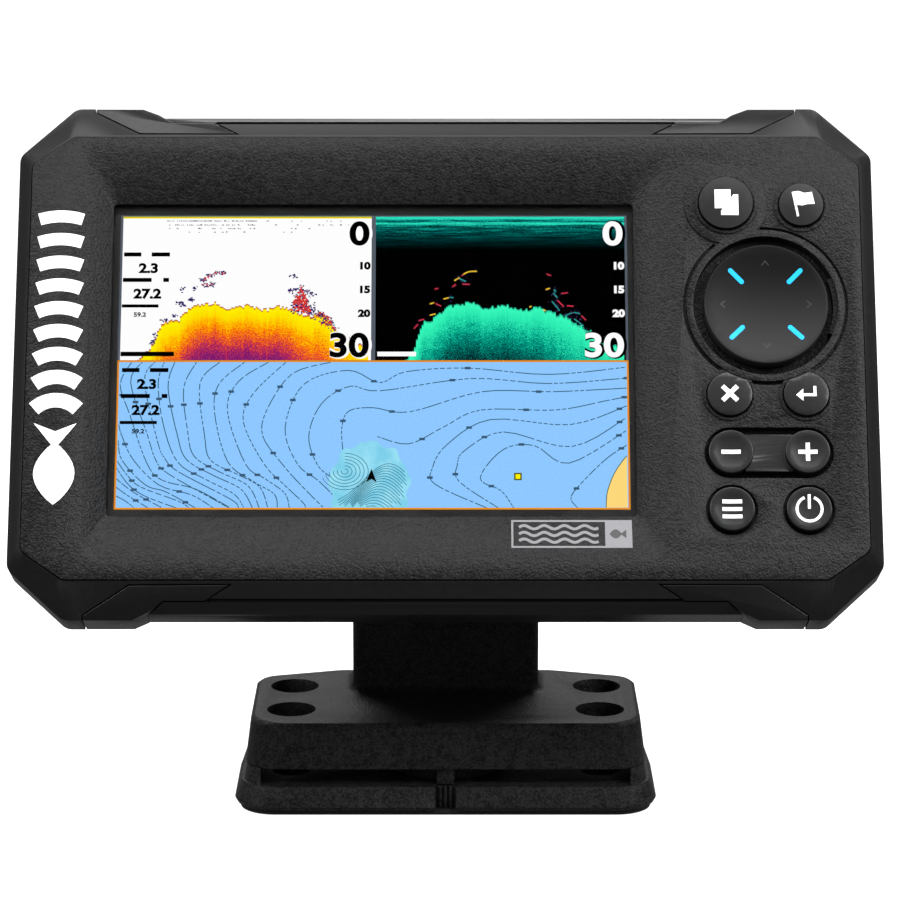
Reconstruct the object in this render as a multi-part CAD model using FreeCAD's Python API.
"""Fish finder: five inch display head on a quick-release tilt and swivel mount.

Millimetres, +Z up, +X to the viewer's right, -Y towards the viewer. The origin is in the
middle of the mount's footprint, on the surface that the mount stands on, on the swivel axis.
The head is drawn upright in its own frame (x right, y back from the face, z up the face, with
x = 0 and z = 0 at the middle of the face) and leaned back on the tilt axis at the end.
"""
import FreeCAD
import Part
import math
import os

V = FreeCAD.Vector

# ---- shared allowances -----------------------------------------------------------------
PAST = 1.0                   # how far a cutting shape runs past the surface that it opens
MERGE = 0.5                  # how far a piece reaches into another that it is fused to
FIT = 0.1                    # clearance between stacked and nested pieces
RUNNING = 0.05               # radial clearance of pins in their bores
LINE_FIT = 0.01              # radial clearance of parts that are pressed or screwed in
THREAD_FIT = 0.02            # radial clearance of nuts and contacts
SLIDE_GAP = 0.3              # gap between pieces that slide or turn over each other

# ---- head outline ----------------------------------------------------------------------
FACE_HALF_W = 88.2           # octagon where the bevel meets the front bezel
FACE_HALF_H = 48.7
FACE_CHAMFER_X = FACE_HALF_W - 8.9
FACE_CHAMFER_Z = FACE_HALF_H - 6.3
RIM_HALF_W = FACE_HALF_W + 3.0   # widest outline, behind the bevel
RIM_HALF_H = FACE_HALF_H + 7.6
RIM_SLOPE_IN = 3.0           # the outline's side stays vertical up to here, in from FACE_CHAMFER
LUG_X = RIM_HALF_W - 26.2    # the tall ends of the top and bottom edges start here
LUG_TOE_X = LUG_X - 3.4      # foot of the ramp, on the edge between the lugs
LUG_RAMP_X = LUG_X - 6.5     # foot of the ramp, on the crease
WAIST_Z = RIM_HALF_H - 1.55  # height of the edges between the lugs
CREASE_Z = WAIST_Z - 2.2
CREASE_Y = 2.15
WAIST_Y = 5.4
BEVEL_Y = 0.35               # front edge of the bevel, behind the face
RIM_Y = 3.9                  # rear edge of the bevel
GROOVE_W = 0.85
GROOVE_DEPTH = 1.3
GROOVE_HALF_L = LUG_X - 15.8
FRAME_WALL = 2.8
WAIST_WALL = 2.4
FACE_FILLET = 2.5
RIM_FILLET = 3.0
ABOVE_RIM = 4.0              # height of cutting shapes over the rim

# ---- front bezel -----------------------------------------------------------------------
BEZEL_T = 2.65
BEZEL_GAP = 0.22             # seam round the bezel
LEDGE_T = 2.0
LEDGE_W = 4.0
LEDGE_Y = BEZEL_T + LEDGE_T  # back of the ledge that the bezel stands on
FRAME_Y = BEZEL_T + 10.15    # back of the main frame
ACTIVE_W = 108.0             # lit area of the five inch 800 x 480 panel
ACTIVE_H = 64.8
SCREEN_X = 72.9 - FACE_HALF_W    # middle of the display
LIP_Y = BEZEL_T + 0.75       # back of the lip that the window is bonded to
FUNNEL_Y = LIP_Y - 0.4       # bottom of the sloped recess round the display
FUNNEL_X = (SCREEN_X - 60.2, SCREEN_X + 61.7)
FUNNEL_Z = FACE_HALF_H - 4.2
FUNNEL_CORNER_R = 3.5
OPENING_X = (SCREEN_X - ACTIVE_W / 2 - 1.5, SCREEN_X + ACTIVE_W / 2 + 1.3)
OPENING_Z = ACTIVE_H / 2 + 2.0
OPENING_CORNER_R = 1.0
PAN_Y = BEZEL_T + 1.95
PAN_WALL = 2.6
SEAL_T = 0.3
WINDOW_T = 1.0
WINDOW_W = ACTIVE_W + 9.0
WINDOW_H = ACTIVE_H + 8.2
LCD_T = 3.0
LCD_W = WINDOW_W + 2.0
LCD_H = WINDOW_H + 2.0
LCD_FLEX_HALF_W = 12.0
LCD_FLEX_Z = (-30.3, -30.0)
TRAY_T = 1.0
TRAY_X = (SCREEN_X - 61.7, SCREEN_X + 62.2)
TRAY_Z = FACE_HALF_H - 2.3

# ---- keypad ----------------------------------------------------------------------------
LEFT_KEY_X = FACE_HALF_W - 28.7
RIGHT_KEY_X = LEFT_KEY_X + 16.0
KEYMAT_Y = BEZEL_T + 2.05
KEYMAT_T = 1.1
KEYMAT_X = (LEFT_KEY_X - 10.0, LEFT_KEY_X + 23.9)
KEYMAT_Z = FACE_CHAMFER_Z - 0.4
KEYMAT_CORNER_R = 5.0
KEYBOARD_T = 1.2
KEYBOARD_Z = 34.0
KEYBOARD_BACK_Y = KEYMAT_Y + KEYMAT_T + KEYBOARD_T
KEY_FLEX_X = (LEFT_KEY_X - 3.5, LEFT_KEY_X + 6.5)
KEY_FLEX_Z = (-18.3, -18.0)
STANDOFF_R = 2.0
STANDOFF_X = RIM_HALF_W - FRAME_WALL - 2.5
STANDOFF_Z = 28.0
DPAD = (LEFT_KEY_X + 8.0, 10.7)
DPAD_R = 13.1
DPAD_POCKET_R = 15.3
DPAD_RIM_R = 16.7
DPAD_RIM_H = 0.5
DPAD_GROOVE_R = 17.45
DPAD_GROOVE_DEPTH = 1.0
DPAD_GROOVE_ARCS = ((-55.5, 93.0), (127.5, 235.0), (259.0, 281.0))
DPAD_TOP_Y = -1.6
DPAD_DISH_Y = -0.6
DPAD_FLOOR_Y = BEZEL_T + 0.25
DPAD_FLOOR_T = 1.3
DPAD_BACK_Y = DPAD_FLOOR_Y - 1.3
DPAD_BALL_Y = KEYMAT_Y - 0.1
DPAD_BALL_R = 1.5
DPAD_STEM_R = 1.0
DPAD_STEM_HOLE_R = 5.5
ACTUATOR_R = 2.2
ACTUATOR_HALF_L = 4.0
ACTUATOR_FLAT = 0.6          # height of the actuator's flat over the ball's middle
CRESCENT_SHIFT = 1.0
CRESCENT_HALF_DEG = 24
CRESCENT_Y = 0.3
LIGHT_R = (6.6, 10.9)
LIGHT_W = 1.0
LIGHT_DEPTH = 1.6
LIGHT_GAP = 0.03
KEY_GAP = 0.2
KEY_R = 4.75
CROWN_SAG = 0.35             # height of a domed key's crown
CROWN_EDGE_R = 0.7
DISH_SAG = 0.45              # depth of a dished key's hollow
DISH_EDGE_R = 0.35
DISH_RIM_W = 0.9
ACTION_APEX_Y = -1.5         # front of the domed keys, ahead of the face
PAGES_APEX_Y = -1.9
DISHED_APEX_Y = -1.1
AHEAD_Y = -4.0               # clear of everything that stands ahead of the face
PAGES = (LEFT_KEY_X, 33.2)
PAGES_R = 5.8
PAGES_COLLAR_R = 6.6
PAGES_PLATEAU_R = 8.7
PLATEAU_H = 0.4
COLLAR_H = 0.35
COLLAR_W = 0.8
WAYPOINT = (RIGHT_KEY_X, 32.9)
ACTION_Z = -8.9
EXIT = (LEFT_KEY_X, ACTION_Z)
ENTER = (RIGHT_KEY_X, ACTION_Z)
ACTION_TRIM_R = 17.2
ZOOM_Z = -21.4
ZOOM_PAD_R = 4.7
ZOOM_POCKET_R = 5.5
ZOOM_POCKET_WALL = 0.7
ZOOM_POCKET_BACK_Y = BEZEL_T + 0.95
ZOOM_BRIDGE_HALF_H = 4.0
ZOOM_BRIDGE_Y = 0.25
ZOOM_BRIDGE_INSET = 3.0
ZOOM_BACK_Y = BEZEL_T - 0.65
ZOOM_RIB_R = 0.7
LOWER_Z = -33.7
MENU = (LEFT_KEY_X, LOWER_Z)
POWER = (RIGHT_KEY_X, LOWER_Z)
LOWER_POCKET_R = 5.4
LOWER_FLANGE_R = LOWER_POCKET_R + 0.45
FLANGE_LAP = 0.6
FLANGE_T = 0.8
KEY_TRAVEL = 0.7
PLUNGER_R = 1.5
PLUNGER_HOLE_R = PLUNGER_R + 0.6

# ---- corner inserts --------------------------------------------------------------------
INSERT_SKIN = 1.5
INSERT_GAP = 0.22
INSERT_SEAT = 0.05
INSERT_OUTLINE = ((LUG_X - 20.3, FACE_HALF_H + 0.8), (LUG_X + 0.4, FACE_HALF_H + 0.9),
                  (LUG_X + 10.1, FACE_HALF_H + 6.7), (LUG_X + 10.1, RIM_HALF_H + 1.7),
                  (LUG_X, RIM_HALF_H + 1.7), (LUG_X, RIM_HALF_H), (LUG_TOE_X, WAIST_Z),
                  (LUG_RAMP_X, CREASE_Z), (LUG_X - 15.3, CREASE_Z))

# ---- rear housing ----------------------------------------------------------------------
HOUSING_SEAL_T = 0.4
HOUSING_SEAL_W = (0.3, 1.9)  # outer and inner edge of the seal, in from the housing's outline
HOUSING_WALL = 2.5
HOUSING_HALF_W = RIM_HALF_W - 1.3
HOUSING_HALF_H = RIM_HALF_H - 2.4
HOUSING_CHAMFER = 11.0
HOUSING_FILLET = 2.5
BACK_Y = 31.0
SHOULDER_Y = BACK_Y - 7.0
SHOULDER_HALF_W = HOUSING_HALF_W - 5.9
SHOULDER_HALF_H = HOUSING_HALF_H - 5.9
BACK_HALF_W = HOUSING_HALF_W - 21.9
BACK_HALF_H = HOUSING_HALF_H - 16.9
BACK_CHAMFER = 9.0
RIB_PITCH = 18.0
RIB_HALF_T = 0.9
SCREW_R = 1.4
SCREW_HEAD_R = 2.7
SCREW_HEAD_H = 1.8
CROSS_W = 2.8
CROSS_T = 0.6
CROSS_DEPTH = 0.9
BOSS_R = 3.5
CASE_SCREW_X = RIM_HALF_W - 7.7
CASE_SCREW_Z = FACE_CHAMFER_Z - 3.9
CASE_SCREWS = ((-CASE_SCREW_X, CASE_SCREW_Z), (CASE_SCREW_X, CASE_SCREW_Z),
               (CASE_SCREW_X, -CASE_SCREW_Z), (-CASE_SCREW_X, -CASE_SCREW_Z))
BOARD_Y = FRAME_Y + 1.6
BOARD_T = 1.6
BOARD_HALF_W = HOUSING_HALF_W - 19.9
BOARD_HALF_H = HOUSING_HALF_H - 15.9
BOARD_CORNER_R = 3.0
BOARD_SCREW_X = BOARD_HALF_W - 12.0
BOARD_SCREW_Z = BOARD_HALF_H - 8.0
BOARD_SCREWS = ((-BOARD_SCREW_X, BOARD_SCREW_Z), (BOARD_SCREW_X, BOARD_SCREW_Z),
                (BOARD_SCREW_X, -BOARD_SCREW_Z), (-BOARD_SCREW_X, -BOARD_SCREW_Z))
BOARD_SCREW_L = 5.0
CHIPS = ((-12, 0, 17, 17, 2.0), (12, 8, 11, 9, 1.2), (12, -8, 11, 9, 1.2), (33, 2, 8, 12, 2.5),
         (-34, 22, 12, 8, 3.0))   # x, z, width, height, thickness
CAN_X = (22.0, 52.0)
CAN_Z = (-32.0, -10.0)
CAN_H = 4.0
CAN_T = 0.4
GPS_HALF_W = 9.0
GPS_Z = (18.0, 36.0)
GPS_T = 4.0
BEEPER = (38.0, 22.0)
BEEPER_R = 5.5
BEEPER_T = 4.5

# ---- connector, vent and card door -----------------------------------------------------
CONNECTOR = (50.0, -14.0)
CONNECTOR_R = 9.5            # outside the housing
CONNECTOR_L = 8.0
CONNECTOR_BODY_R = 8.8       # through the wall and inside
CONNECTOR_INNER_L = 9.0
CONNECTOR_BORE_R = 7.4
CONNECTOR_KEY_W = 1.8
CONNECTOR_KEY_H = 1.2
CONNECTOR_NUT_R = 13.0       # over the corners
CONNECTOR_NUT_T = 3.0
INSERT_SINK = 0.6
CONTACT_R = 0.6
CONTACT_COUNT = 8
CONTACT_RING_R = 4.4
VENT = (50.0, 16.0)
VENT_R = 4.0
VENT_DEPTH = 2.0
VENT_PROUD = 0.5
VENT_BORE_R = 2.5
VENT_HOLE_R = 0.5
VENT_HOLE_RING_R = 2.2
VENT_HOLE_DEPTH = 0.3
DOOR_X = (-62.0, -36.0)
DOOR_Z = (-22.0, 10.0)
DOOR_T = 1.6
DOOR_GAP = 0.25
DOOR_KNUCKLE_R = 1.4
DOOR_PIN_R = 0.6
DOOR_PIN_LAP = 2.0           # how far the pin goes into the housing at each end
DOOR_POCKET_DEPTH = 3.4
DOOR_PLUG_T = 0.9
DOOR_LIP_T = 1.6
DOOR_LIP_H = 1.0
DOOR_LIP_HALF_L = 6.0
CARD_W = 11.6
CARD_Z = -7.5
CARD_SLOT_T = 1.2
READER_HALF_W = 8.0
READER_HALF_H = 5.0

# ---- quick-release rail and cradle -----------------------------------------------------
PIVOT_DEPTH = BACK_Y + 20.0  # tilt axis behind the face
PIVOT_DROP = 6.0             # tilt axis below the middle of the face
RAIL_HALF_W = 30.0
RAIL_Z = (-26.0, 21.0)
RAIL_STOP_Z = 18.0
RAIL_FLOOR_T = 2.0
RAIL_SIDE_GAP = 0.4
RAIL_CORNER_R = 2.0
RAIL_SCREW_X = RAIL_HALF_W - 2.4
RAIL_SCREW_HEAD_R = 2.16
RAIL_SCREW_L = 5.0
RAIL_SLOT_W = 2.4
TONGUE_HALF_W = 25.0
TONGUE_Z = -22.0
TONGUE_T = 2.8
TONGUE_GAP = 0.3
TONGUE_CORNER_R = 3.0
NECK_HALF_W = 20.0
LIP_T = 2.1
CRADLE_T = 3.2
CRADLE_Z = (-14.0, 10.0)
CRADLE_CORNER_R = 2.0
EAR_GAP = 0.6
EAR_T = 6.4
EAR_R = 8.0
EAR_NOSE = 5.0
BARREL_R = 7.5
BARREL_HALF_W = 20.0
BARREL_ROOM = 0.8
TILT_BOLT_R = 3.0
BOLT_HEAD_R = 5.6
BOLT_HEAD_H = 3.4
BOLT_SOCKET_R = 2.2
BOLT_SOCKET_DEPTH = 2.0
NUT_R = 5.8                  # over the corners
NUT_T = 5.0
BOLT_END = 5.6               # how far the bolt's end stands past the ear
WASHER_T = 0.5
LEVER_HALF_W = 8.0
LEVER_T = 2.4
LEVER_PIN_R = 1.2
LEVER_HUB_R = 2.4
LEVER_PIN_Z = 13.0
LEVER_TOP_Z = 33.0
LEVER_EAR_T = 3.0
LEVER_EAR_Z = (-3.2, 2.6)    # ears of the cradle, from the lever's pin
LEVER_PIN_LAP = 2.5
THUMB_REACH = 3.0
THUMB_T = 0.6
SPRING_HALF_L = 2.9
SPRING_R = LEVER_PIN_R + 1.0
SPRING_ROOM = 0.2
TOOTH_Z = (RAIL_STOP_Z + 0.4, RAIL_STOP_Z + 2.4)

# ---- base and column -------------------------------------------------------------------
FOOT_T = 1.2
FOOT_INSET = 1.2
BASE_FRONT_Y = -20.0
BASE_REAR_Y = 19.5
BASE_HALF_W = 46.3
BASE_DRAFT = 1.5
BASE_SOLE_H = 0.9
BASE_TOP_Z = 6.3
BASE_CORNER_R = 9.0
DECK_Z = BASE_TOP_Z + 3.95
DECK_TOP_Z = DECK_Z + 9.85
DECK_FRONT_Y = BASE_FRONT_Y + 1.8
DECK_HALF_W = BASE_HALF_W - 2.4
DECK_REAR_SIDE_Y = BASE_REAR_Y + 2.0
DECK_REAR_Y = BASE_REAR_Y + 7.5
DECK_REAR_HALF_W = 24.0
DECK_FRONT_R = 8.0
DECK_SIDE_R = 5.0
DECK_REAR_R = 12.0
DECK_DRAFT = 1.35
DECK_WALL = 2.6
DECK_TOP_T = 3.0
DECK_EDGE = 0.8
PAD_X = BASE_HALF_W - 5.9
PAD_FRONT_Y = BASE_FRONT_Y + 12.0
PAD_REAR_Y = BASE_REAR_Y - 10.0
HUB_R = 13.0
BOSS_OUTER_R = 12.0
SWIVEL_BOLT_R = 3.0
SWIVEL_HEAD_R = 5.6
SWIVEL_HEAD_H = 2.4
SWIVEL_HEAD_GAP = 0.2        # head above the foot's top
SWIVEL_SOCKET_R = 2.3
SWIVEL_SOCKET_DEPTH = 1.5
INSERT_NUT_R = 5.0
INSERT_NUT_Z = DECK_Z + 0.6
SWIVEL_END_Z = DECK_TOP_Z - 3.5
SCREW_HOLE_X = BASE_HALF_W - 12.3
SCREW_HOLE_FRONT_Y = -5.7
SCREW_HOLE_REAR_Y = 12.3
SCREW_HOLE_R = 2.3
ACCESS_TOP_R = 5.4
ACCESS_BOTTOM_R = 3.8
ACCESS_WALL = 1.2
TAB_HALF_W = 1.9
TAB_Y = (DECK_FRONT_Y + 0.9, DECK_FRONT_Y + 3.2)
NOTCH_HALF_W = 2.2
NOTCH_DEPTH = 1.6
NOTCH_RIB_PITCH = 1.1
NOTCH_RIB_T = 0.5
NOTCH_RIB_REACH = 0.9
STIFFENER_T = 1.2
COLUMN_FRONT_Y = 8.1
COLUMN_HALF_W = BARREL_HALF_W + 0.8
COLUMN_DEPTH = 14.6
COLUMN_CORNER_R = 2.0
COLUMN_COVE = 2.2
COLUMN_COVE_STEPS = 5
COLUMN_WALL = 3.2
COLUMN_RIBS = 3
COLUMN_RIB_T = 1.2
PIVOT_Y = 17.7               # tilt axis in the mount's frame
PIVOT_Z = 74.3
COLUMN_NECK_Z = PIVOT_Z - 11.3
COLUMN_CORE_Z = (DECK_TOP_Z + 4.9, COLUMN_NECK_Z - 3.0)
TILT_DEG = 28.0              # lean of the head at rest
AWAY = 60.0                  # beyond everything on the mount


# ---- drawing helpers -------------------------------------------------------------------
def at_depth(y):
    """Place (x, z) points on the plane that is y behind the face."""
    return lambda x, z: V(x, y, z)


def at_height(z):
    """Place (x, y) points on a level plane."""
    return lambda x, y: V(x, y, z)


def at_side(x):
    """Place (y, z) points on an upright plane across X."""
    return lambda y, z: V(x, y, z)


def rounded_corner(before, corner, after, radius):
    """Start, middle and end of the arc that rounds a corner; the middle is None if it is sharp."""
    if radius <= 0:
        return (corner, None, corner)
    back = (before - corner).normalize()
    ahead = (after - corner).normalize()
    half_angle = back.getAngle(ahead) / 2
    reach = radius / math.tan(half_angle)
    sink = radius / math.sin(half_angle) - radius
    middle = corner + (back + ahead).normalize() * sink
    return (corner + back * reach, middle, corner + ahead * reach)


def outline(points, place, radius=0.0):
    """Closed wire through the points; each corner takes its own or the shared radius."""
    corners = [place(point[0], point[1]) for point in points]
    radii = [point[2] if len(point) > 2 else radius for point in points]
    stations = []
    for index, corner in enumerate(corners):
        following = corners[(index + 1) % len(corners)]
        stations.append(rounded_corner(corners[index - 1], corner, following, radii[index]))
    edges = []
    for index, (start, middle, end) in enumerate(stations):
        if middle is not None:
            edges.append(Part.Arc(start, middle, end).toShape())
        following = stations[(index + 1) % len(stations)][0]
        if end.distanceToPoint(following) > 1e-6:
            edges.append(Part.LineSegment(end, following).toShape())
    return Part.Wire(edges)


def prism(points, front, back, radius=0.0):
    """Extrude an (x, z) outline from front to back."""
    return Part.Face(outline(points, at_depth(front), radius)).extrude(V(0, back - front, 0))


def slab(points, low, high, radius=0.0):
    """Extrude an (x, y) outline upwards."""
    return Part.Face(outline(points, at_height(low), radius)).extrude(V(0, 0, high - low))


def bar(points, left, right, radius=0.0):
    """Extrude a (y, z) outline to the right."""
    return Part.Face(outline(points, at_side(left), radius)).extrude(V(right - left, 0, 0))


def block(x, y, z):
    """Box between three (low, high) pairs."""
    return Part.makeBox(x[1] - x[0], y[1] - y[0], z[1] - z[0], V(x[0], y[0], z[0]))


def disc(place, radius, front, back):
    """Cylinder along the depth of the head at (x, z)."""
    return Part.makeCylinder(radius, back - front, V(place[0], front, place[1]), V(0, 1, 0))


def post(place, radius, low, high):
    """Upright cylinder at (x, y)."""
    return Part.makeCylinder(radius, high - low, V(place[0], place[1], low))


def axle(place, radius, left, right):
    """Cylinder along X at (y, z)."""
    return Part.makeCylinder(radius, right - left, V(left, place[0], place[1]), V(1, 0, 0))


def ring(place, outer, inner, front, back):
    """Tube along the depth of the head."""
    return disc(place, outer, front, back).cut(disc(place, inner, front - PAST, back + PAST))


def turned(place, profile):
    """Turn a (radius, y) profile about the line along the head's depth at (x, z)."""
    face = Part.Face(outline(profile, lambda r, y: V(place[0] + r, y, place[1])))
    return face.revolve(V(place[0], 0, place[1]), V(0, 1, 0), 360)


def loft(wires):
    """Solid with straight sides through the wires."""
    return Part.makeLoft(wires, True, True)


def rectangle(x, z):
    """Corner points of a rectangle between two (low, high) pairs."""
    return [(x[0], z[0]), (x[1], z[0]), (x[1], z[1]), (x[0], z[1])]


def both(value):
    """The pair (-value, value)."""
    return (-value, value)


def around(middle, half):
    """The pair (middle - half, middle + half)."""
    return (middle - half, middle + half)


def octagon(half_w, half_h, chamfer_x, chamfer_z):
    """Points of a chamfered rectangle, counter-clockwise from the lower right side."""
    quarter = [(half_w, chamfer_z), (chamfer_x, half_h)]
    return ([(half_w, -chamfer_z)] + quarter
            + [(-x, z) for x, z in reversed(quarter)]
            + [(-x, -z) for x, z in quarter]
            + [(chamfer_x, -half_h)])


def round_about(middle, radius, count, start_deg=0.0):
    """Points evenly spaced round a middle."""
    angles = [math.radians(start_deg + 360.0 * index / count) for index in range(count)]
    return [(middle[0] + radius * math.cos(angle), middle[1] + radius * math.sin(angle)) for angle in angles]


def fused(shapes):
    """One solid from touching shapes."""
    return shapes[0].fuse(shapes[1:]).removeSplitter()


def lean(shape):
    """Move a piece of the head from its own frame to its place on the leaned-back mount."""
    placed = shape.copy()
    placed.translate(V(0, -PIVOT_DEPTH, PIVOT_DROP))
    placed.rotate(V(0, 0, 0), V(1, 0, 0), -TILT_DEG)
    placed.translate(V(0, PIVOT_Y, PIVOT_Z))
    return placed


def sector(place, radius, start_deg, end_deg, front, back):
    """Wedge of a disc between two angles, counter-clockwise as seen from the front."""
    steps = max(1, math.ceil((end_deg - start_deg) / 60.0))
    step = (end_deg - start_deg) / steps
    reach = radius / math.cos(math.radians(step / 2))
    points = [place]
    for index in range(steps + 1):
        angle = math.radians(start_deg + step * index)
        points.append((place[0] + reach * math.cos(angle), place[1] + reach * math.sin(angle)))
    return prism(points, front, back)


# ---- head outline solids ---------------------------------------------------------------
def face_outline(inset, y):
    """Octagon where the bevel starts."""
    points = octagon(FACE_HALF_W - inset, FACE_HALF_H - inset, FACE_CHAMFER_X - inset * 0.4,
                     FACE_CHAMFER_Z - inset * 0.4)
    return outline(points, at_depth(y), FACE_FILLET)


def rim_outline(inset, y, height_inset=None):
    """Widest outline of the head."""
    top = inset if height_inset is None else height_inset
    points = octagon(RIM_HALF_W - inset, RIM_HALF_H - top, FACE_CHAMFER_X - inset * 0.4,
                     FACE_CHAMFER_Z + RIM_SLOPE_IN - inset * 0.4 - (top - inset))
    return outline(points, at_depth(y), RIM_FILLET)


def rim_body(inset, back, height_inset=None):
    """Bevelled body of the head, shrunk inwards by inset."""
    sink = inset * 0.8
    widest = rim_outline(inset, RIM_Y + sink, height_inset)
    bevel = loft([face_outline(inset * 0.6, BEVEL_Y + sink), widest])
    straight = Part.Face(widest).extrude(V(0, back - RIM_Y - sink, 0))
    return fused([bevel, straight])


def waist_cut(side):
    """What is taken off the top (side 1) or bottom (side -1) edge between the lugs."""
    front = CREASE_Y - 2 * PAST
    back = FRAME_Y + PAST
    top = RIM_HALF_H + ABOVE_RIM
    ramp = [(-LUG_X, RIM_HALF_H), (-LUG_TOE_X, WAIST_Z), (-LUG_RAMP_X, CREASE_Z), (LUG_RAMP_X, CREASE_Z),
            (LUG_TOE_X, WAIST_Z), (LUG_X, RIM_HALF_H), (LUG_X, top), (-LUG_X, top)]
    profile = [(front, CREASE_Z), (CREASE_Y, CREASE_Z), (WAIST_Y, WAIST_Z), (back, WAIST_Z),
               (back, top), (front, top)]
    front_view = prism([(x, side * z) for x, z in ramp], front, back)
    side_view = bar([(y, side * z) for y, z in profile], -LUG_X - PAST, LUG_X + PAST)
    return front_view.common(side_view)


def head_body():
    """Outside of the main frame and the corner inserts together."""
    body = rim_body(0, FRAME_Y)
    for side in (1, -1):
        body = body.cut(waist_cut(side))
    return body


def insert_prism(side_x, side_z, grow):
    """Front-view outline of one corner insert, grown by the seam round it."""
    points = [(side_x * x, side_z * z) for x, z in INSERT_OUTLINE]
    wire = outline(points, at_depth(-PAST))
    if grow > 0:
        wire = wire.makeOffset2D(grow, 2)
    return Part.Face(wire).extrude(V(0, FRAME_Y + 2 * PAST, 0))


def corner_insert(side_x, side_z):
    """Smooth skin piece set into the bevel and lug near one corner."""
    shell = insert_prism(side_x, side_z, 0).common(head_body())
    return shell.cut(rim_body(INSERT_SKIN, FRAME_Y + PAST))


# ---- main frame ------------------------------------------------------------------------
def frame_hollow():
    """Inside of the main frame: the bezel's pocket, the opening in the ledge and the rear hollow."""
    pocket = Part.Face(face_outline(0, -PAST)).extrude(V(0, BEZEL_T + PAST, 0))
    window = Part.Face(face_outline(LEDGE_W, -PAST)).extrude(V(0, LEDGE_Y + 2 * PAST, 0))
    hollow = rim_body(FRAME_WALL, FRAME_Y + PAST, RIM_HALF_H - WAIST_Z + WAIST_WALL)
    rear = block(both(RIM_HALF_W), (LEDGE_Y, FRAME_Y + PAST), both(RIM_HALF_H))
    return [pocket, window, hollow.common(rear)]


def main_frame():
    """Bevelled ring that carries the bezel in front and the rear housing behind."""
    body = head_body()
    seat = rim_body(INSERT_SKIN + INSERT_SEAT, FRAME_Y + PAST)
    for side_x in (1, -1):
        for side_z in (1, -1):
            body = body.cut(insert_prism(side_x, side_z, INSERT_GAP).cut(seat))
    for side_z in (1, -1):
        groove_z = around(side_z * CREASE_Z, GROOVE_W / 2)
        body = body.cut(block(both(GROOVE_HALF_L), (0, CREASE_Y + GROOVE_DEPTH), groove_z))
    for cut in frame_hollow():
        body = body.cut(cut)
    for place in CASE_SCREWS:
        boss = disc(place, BOSS_R, LEDGE_Y - MERGE, FRAME_Y).common(rim_body(1, FRAME_Y))
        body = body.fuse(boss).cut(disc(place, SCREW_R, LEDGE_Y + 1.5, FRAME_Y + PAST))
    for side_z in (1, -1):
        place = (STANDOFF_X, side_z * STANDOFF_Z)
        body = body.fuse(disc(place, STANDOFF_R, LEDGE_Y - MERGE, KEYMAT_Y + KEYMAT_T))
    return body.removeSplitter()


# ---- front bezel -----------------------------------------------------------------------
def pan_span():
    """X range of the pan that stands behind the bezel round the window."""
    return (SCREEN_X - WINDOW_W / 2 - PAN_WALL, SCREEN_X + WINDOW_W / 2 + PAN_WALL)


def key_hole(place, radius, trimmed=False):
    """Hole through the bezel for one key."""
    hole = disc(place, radius, AHEAD_Y + PAST, BEZEL_T + 2 * PAST)
    if trimmed:
        hole = hole.cut(disc(DPAD, ACTION_TRIM_R - KEY_GAP, AHEAD_Y, BEZEL_T + 3 * PAST))
    return hole


def zoom_stadium(radius, front, back):
    """Slot shape round the two zoom pads."""
    ends = [disc((x, ZOOM_Z), radius, front, back) for x in (LEFT_KEY_X, RIGHT_KEY_X)]
    middle = block((LEFT_KEY_X, RIGHT_KEY_X), (front, back), around(ZOOM_Z, radius))
    return fused(ends + [middle])


def bezel_body():
    """Plate of the bezel with its raised collars and the walls behind it."""
    plate = Part.Face(face_outline(BEZEL_GAP, 0)).extrude(V(0, BEZEL_T, 0))
    raised = [disc(PAGES, PAGES_PLATEAU_R, -PLATEAU_H, 1),
              disc(PAGES, PAGES_COLLAR_R, -PLATEAU_H - COLLAR_H, 1),
              disc(WAYPOINT, KEY_R + KEY_GAP + COLLAR_W, -COLLAR_H, 1),
              disc(EXIT, KEY_R + COLLAR_W, -COLLAR_H, 1),
              disc(ENTER, KEY_R + COLLAR_W, -COLLAR_H, 1),
              disc(DPAD, DPAD_RIM_R, -DPAD_RIM_H, 1)]
    behind = [block(pan_span(), (1, PAN_Y), both(FACE_HALF_H - LEDGE_W - FIT)),
              disc(DPAD, DPAD_RIM_R, 1, DPAD_FLOOR_Y + DPAD_FLOOR_T),
              zoom_stadium(ZOOM_POCKET_R + ZOOM_POCKET_WALL, 1, ZOOM_POCKET_BACK_Y)]
    return fused([plate] + raised + behind)


def display_cuts():
    """Sloped recess, opening and window seat of the bezel."""
    funnel = loft([outline(rectangle(FUNNEL_X, both(FUNNEL_Z)), at_depth(0), FUNNEL_CORNER_R),
                   outline(rectangle(OPENING_X, both(OPENING_Z)), at_depth(FUNNEL_Y), OPENING_CORNER_R)])
    opening = prism(rectangle(OPENING_X, both(OPENING_Z)), FUNNEL_Y - 0.1, PAN_Y + PAST, OPENING_CORNER_R)
    seat = prism(rectangle(around(SCREEN_X, WINDOW_W / 2 + FIT), both(WINDOW_H / 2 + FIT)),
                 LIP_Y, PAN_Y + PAST)
    return [funnel, opening, seat]


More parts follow.
